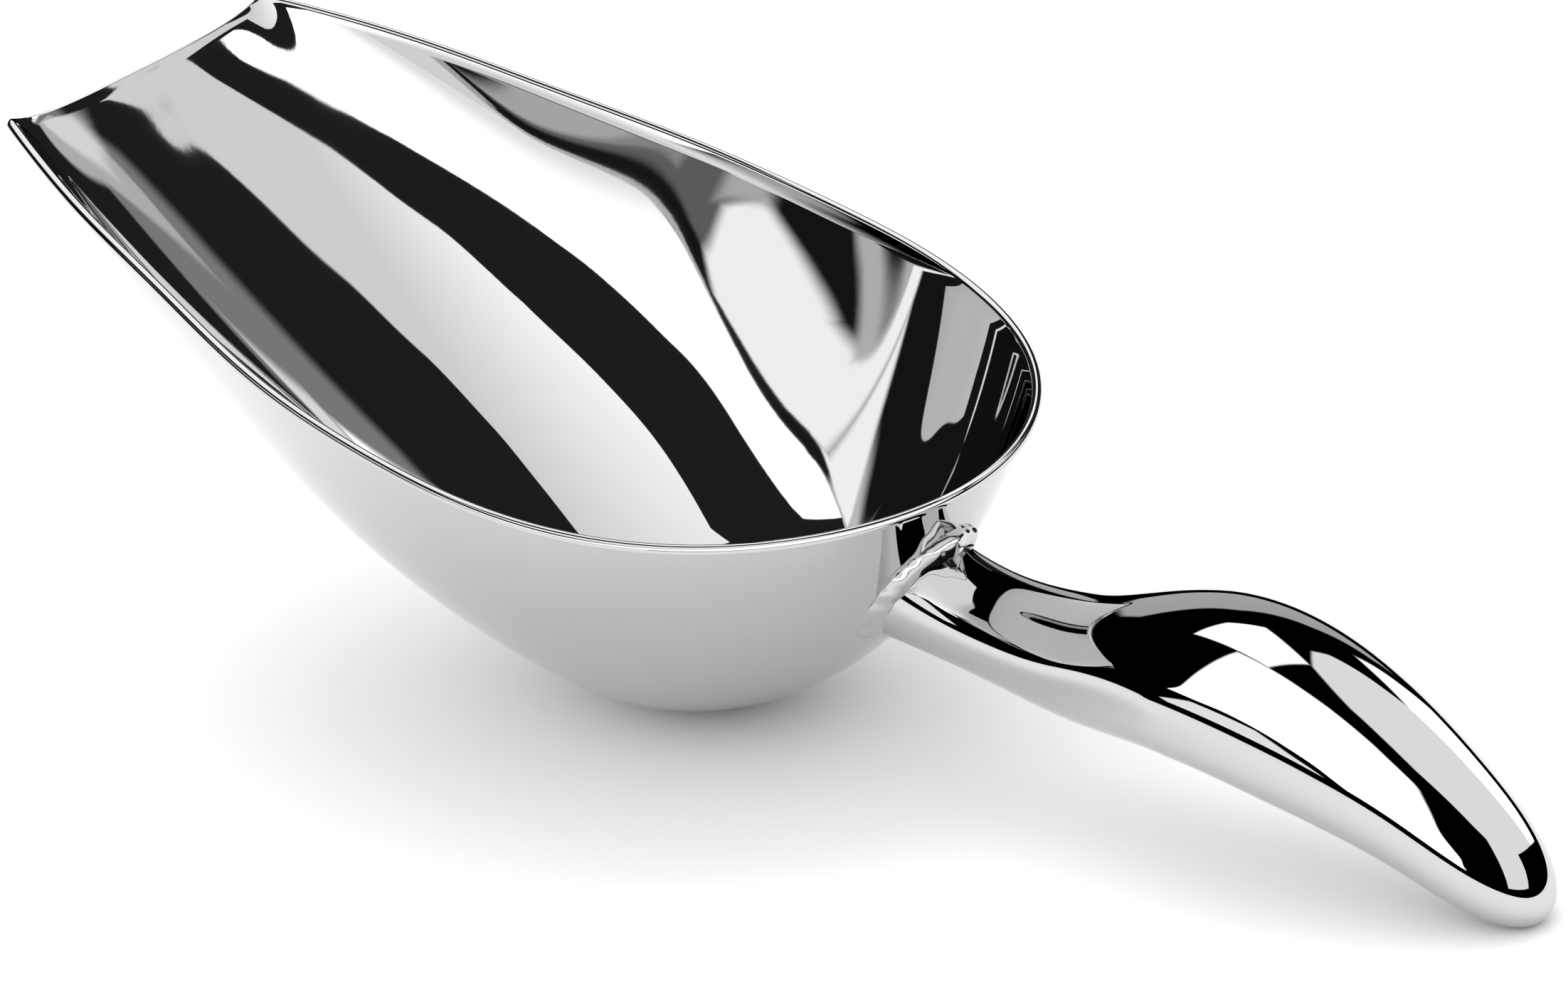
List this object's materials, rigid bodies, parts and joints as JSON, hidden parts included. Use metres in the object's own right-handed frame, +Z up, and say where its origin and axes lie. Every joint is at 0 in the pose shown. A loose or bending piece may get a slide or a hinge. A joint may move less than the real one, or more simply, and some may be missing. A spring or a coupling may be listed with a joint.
{
  "type": "ice scoop",
  "caption": "Mirror-polished steel ice scoop: deep open-fronted bowl with rolled rim and a hollow curved handle welded to its back.",
  "frame": {"origin": "bottom centre of the whole scoop's box, on the surface it stands on", "axes": "+Y from the open mouth back along the handle, +Z up from the surface it rests on, +X to the side, so that X = 0 is the plane of symmetry"},
  "size_m": [0.0956, 0.254, 0.0809],
  "materials": {
    "bowl_steel": "mirror-polished stainless steel sheet",
    "handle_steel": "mirror-polished stainless steel pressing",
    "seam_steel": "stainless weld ground flush and polished",
    "weld_steel": "lumpy stainless weld bead, lightly polished"
  },
  "bodies": {
    "root": {"bowl": "bowl_steel", "handle_upper_shell": "handle_steel", "handle_lower_shell": "handle_steel", "handle_seam_weld": "seam_steel", "root_weld": "weld_steel"}
  },
  "joints": []
}
